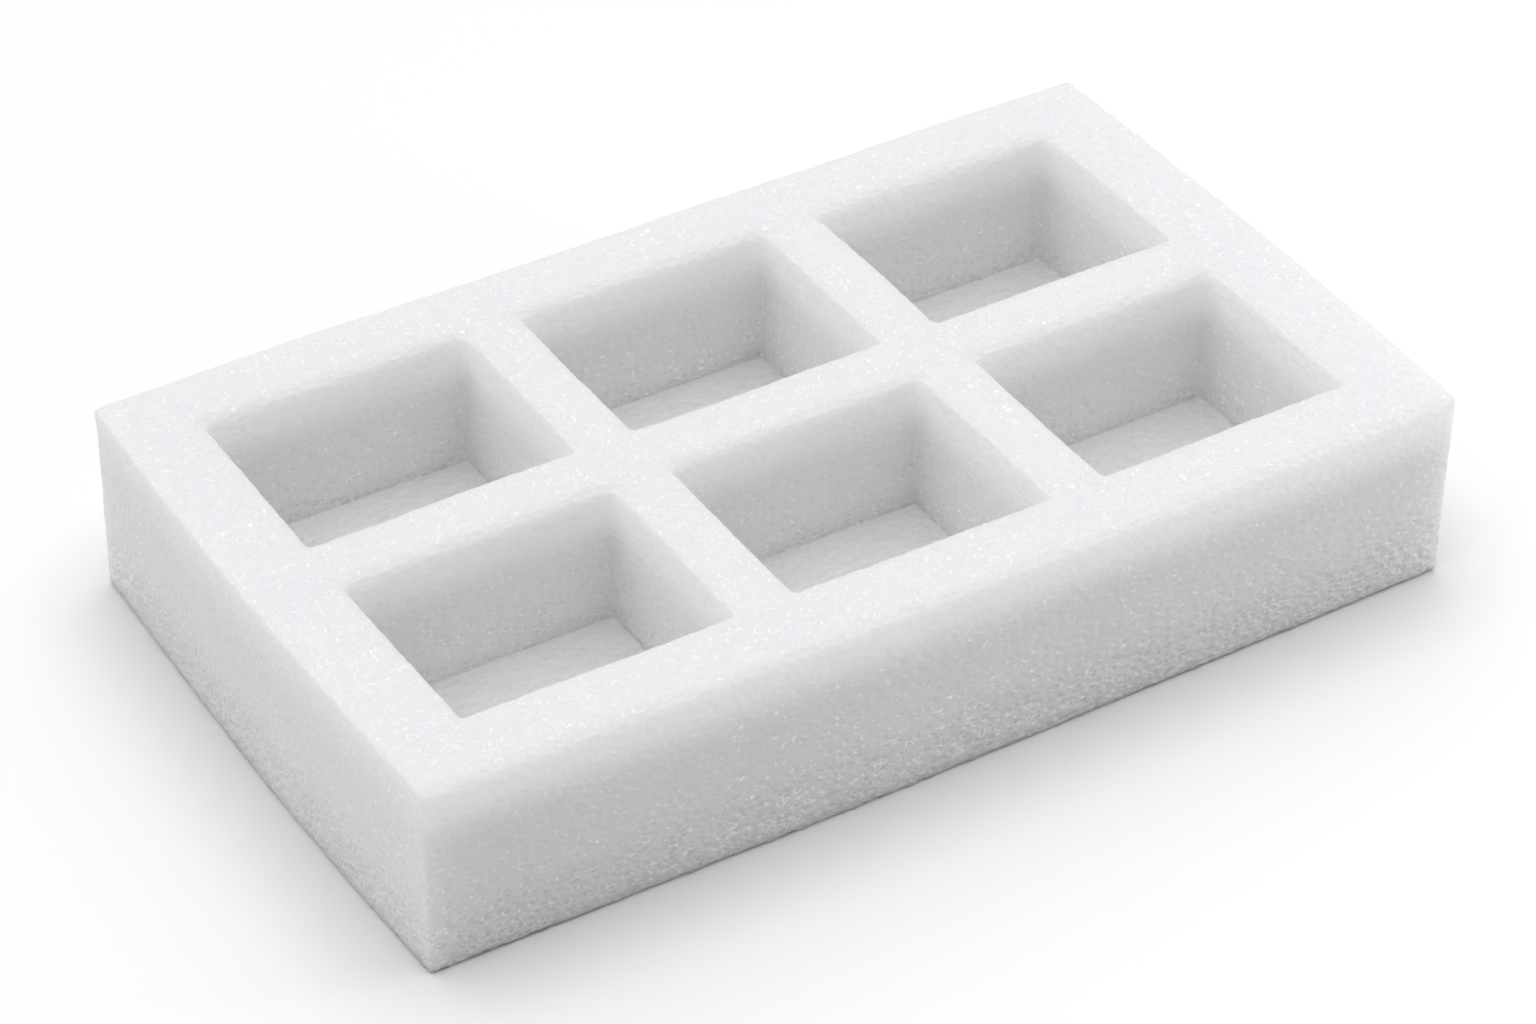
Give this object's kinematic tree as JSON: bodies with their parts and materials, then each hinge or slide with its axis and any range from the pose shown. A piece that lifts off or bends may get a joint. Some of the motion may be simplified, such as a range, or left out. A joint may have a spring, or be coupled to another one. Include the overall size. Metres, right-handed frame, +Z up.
{
  "type": "foam block",
  "caption": "Rectangular white closed-cell foam block with a grid of blind rectangular pockets that hold and cushion small parts.",
  "frame": {"origin": "middle of the block's underside, on the surface it stands on", "axes": "+X along the block's length, +Y across its width towards the back row of pockets, +Z up out of the pockets"},
  "size_m": [0.24, 0.14, 0.045],
  "materials": {
    "foam": "cut closed-cell foam, white, matt with fine glints from the open cells"
  },
  "bodies": {
    "root": {"foam_block": "foam"}
  },
  "joints": []
}
